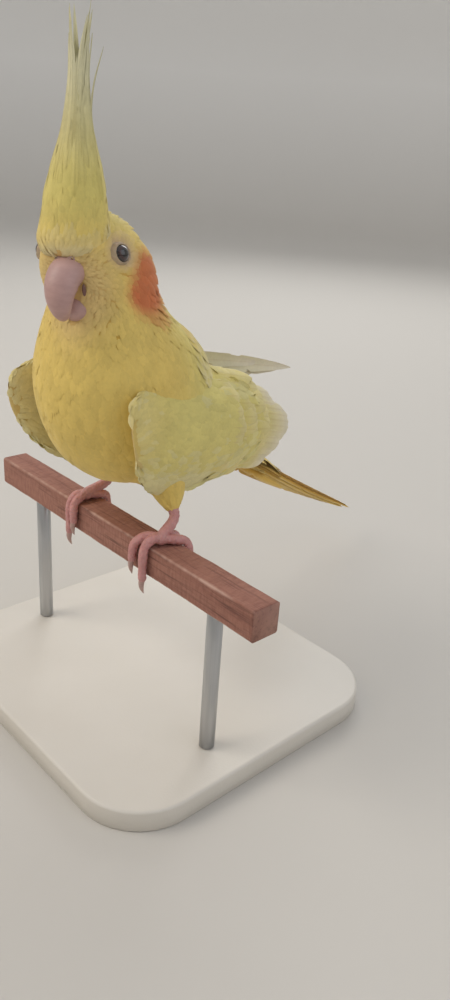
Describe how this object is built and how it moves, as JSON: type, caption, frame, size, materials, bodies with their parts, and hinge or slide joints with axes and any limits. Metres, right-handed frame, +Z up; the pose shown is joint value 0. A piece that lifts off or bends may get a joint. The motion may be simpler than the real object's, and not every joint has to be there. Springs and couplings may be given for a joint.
{
  "type": "cockatiel display model",
  "caption": "Life-size yellow cockatiel with a raised crest, gripping a short square perch on a flat display base.",
  "frame": {"origin": "middle of the underside of the stand's base", "axes": "+Z up; the perch runs along X; the bird faces -Y, its body turned 12 degrees towards +X; its left side is at +X"},
  "size_m": [0.164, 0.256, 0.2539],
  "materials": {
    "plumage_body": "dense soft contour feathers in warm yellow, matt",
    "plumage_crest": "long narrow crest feathers, pale lemon yellow, matt",
    "plumage_wing": "wing feathers in pale greenish yellow with whitish edges, low sheen",
    "plumage_tail": "golden yellow tail feathers with paler shafts, low sheen",
    "bill": "horn, pinkish grey, faint growth lines, satin",
    "eye": "very dark brown eye with a wet gloss",
    "foot_skin": "beaded scales, pink, satin",
    "claw": "translucent grey-pink horn, darker to the point",
    "perch_wood": "sawn reddish-brown hardwood, rough, worn on its upper edges",
    "stand_board": "board painted warm white, satin",
    "stand_steel": "bright steel rod, fine lengthwise grain"
  },
  "bodies": {
    "root": {"head": "plumage_body", "neck": "plumage_body", "torso": "plumage_body", "leg_left": "plumage_body", "leg_right": "plumage_body", "crest": "plumage_crest", "wing_left": "plumage_wing", "wing_right": "plumage_wing", "tail": "plumage_tail", "bill_upper": "bill", "bill_lower": "bill", "eye_left": "eye", "eye_right": "eye", "foot_left": "foot_skin", "foot_right": "foot_skin", "claw_left_outer": "claw", "claw_left_inner": "claw", "claw_left_outerBack": "claw", "claw_left_innerBack": "claw", "claw_right_outer": "claw", "claw_right_inner": "claw", "claw_right_outerBack": "claw", "claw_right_innerBack": "claw", "perch": "perch_wood", "stand_base": "stand_board", "stand_rod_left": "stand_steel", "stand_rod_right": "stand_steel"}
  },
  "joints": []
}
